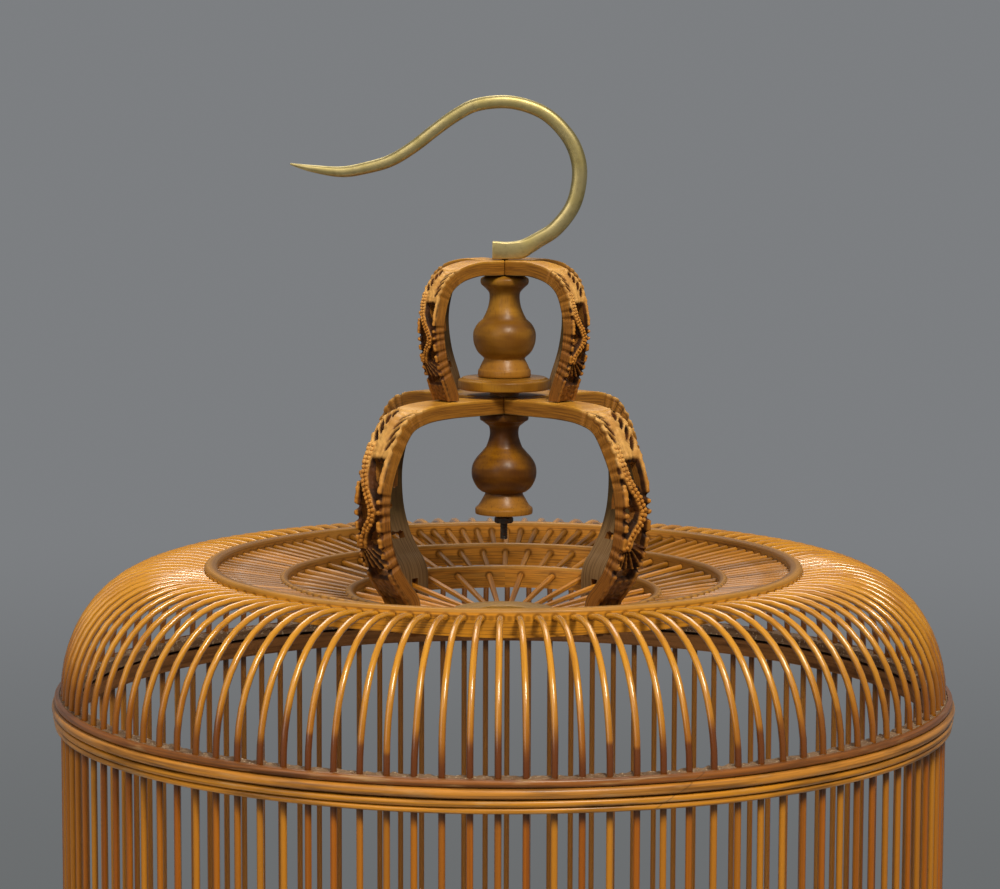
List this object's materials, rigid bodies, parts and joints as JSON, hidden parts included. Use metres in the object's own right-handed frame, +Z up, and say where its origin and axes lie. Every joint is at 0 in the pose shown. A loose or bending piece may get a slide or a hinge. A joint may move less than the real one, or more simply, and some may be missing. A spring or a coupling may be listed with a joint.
{
  "type": "bamboo bird cage",
  "caption": "Round bamboo bird cage with a domed shoulder, stepped crown, two-tier carved yoke, swivelling brass hook, lift-up door and pull-out tray.",
  "frame": {"origin": "on the surface that the cage stands on, under its middle", "axes": "+Z up along the cage's axis to the hook, -Y to the door and the tray's front, -X the way the hook's point lies"},
  "size_m": [0.3634, 0.3634, 0.5724],
  "materials": {
    "bamboo_bars": "polished golden bamboo splint with a red-brown tint low on the bars",
    "bamboo_hoops": "bent bamboo lath, brown rounded face and light edge",
    "bamboo_crown": "bent bamboo lath with light spokes",
    "carved_bamboo": "carved relief, light high points and dark grounds",
    "turned_wood": "glossy turned hardwood",
    "aged_brass": "aged matt brass with a pale skin",
    "dark_steel": "dark oxidised steel",
    "bamboo_base": "brown bamboo",
    "bamboo_floor": "plain split bamboo"
  },
  "bodies": {
    "cage": {"cage_bars_front": "bamboo_bars", "cage_bars_front_right": "bamboo_bars", "cage_bars_right": "bamboo_bars", "cage_bars_back_right": "bamboo_bars", "cage_bars_back": "bamboo_bars", "cage_bars_back_left": "bamboo_bars", "cage_bars_left": "bamboo_bars", "cage_bars_front_left": "bamboo_bars", "shoulder_hoop": "bamboo_hoops", "shoulder_bead": "bamboo_hoops", "wall_hoop": "bamboo_hoops", "base_hoop": "bamboo_hoops", "crown_hoop_outer": "bamboo_crown", "crown_hoop_middle": "bamboo_crown", "crown_hoop_inner": "bamboo_crown", "crown_boss": "bamboo_crown", "lower_yoke_front_right": "carved_bamboo", "upper_yoke_front_right": "carved_bamboo", "lower_yoke_back_right": "carved_bamboo", "upper_yoke_back_right": "carved_bamboo", "lower_yoke_back_left": "carved_bamboo", "upper_yoke_back_left": "carved_bamboo", "lower_yoke_front_left": "carved_bamboo", "upper_yoke_front_left": "carved_bamboo", "lower_gourd": "turned_wood", "upper_gourd": "turned_wood", "upper_disc": "turned_wood", "foot_front_left": "bamboo_base", "foot_front_right": "bamboo_base", "foot_back_left": "bamboo_base", "foot_back_right": "bamboo_base", "floor_bearer_front": "bamboo_base", "floor_bearer_back": "bamboo_base", "tray_runner_left": "bamboo_base", "tray_runner_right": "bamboo_base", "perch": "bamboo_base", "floor_slat_01": "bamboo_floor", "floor_slat_02": "bamboo_floor", "floor_slat_03": "bamboo_floor", "floor_slat_04": "bamboo_floor", "floor_slat_05": "bamboo_floor", "floor_slat_06": "bamboo_floor", "floor_slat_07": "bamboo_floor", "floor_slat_08": "bamboo_floor", "floor_slat_09": "bamboo_floor", "floor_slat_10": "bamboo_floor", "floor_slat_11": "bamboo_floor", "floor_slat_12": "bamboo_floor", "floor_slat_13": "bamboo_floor", "floor_slat_14": "bamboo_floor", "floor_slat_15": "bamboo_floor"},
    "hook": {"brass_hook": "aged_brass", "threaded_rod": "dark_steel", "washer": "dark_steel", "nut": "dark_steel"},
    "door": {"door": "bamboo_bars"},
    "tray": {"tray": "bamboo_floor", "tray_knob": "turned_wood"}
  },
  "joints": [
    {"name": "hook_swivel", "type": "hinge", "parent": "cage", "child": "hook", "pos_m": [0, 0, 0.5], "axis": [0, 0, 1], "continuous": true},
    {"name": "door_lift", "type": "slide", "parent": "cage", "child": "door", "axis": [0, 0, 1], "range_m": [0, 0.095]},
    {"name": "tray_slide", "type": "slide", "parent": "cage", "child": "tray", "axis": [0, -1, 0], "range_m": [0, 0.2]}
  ]
}
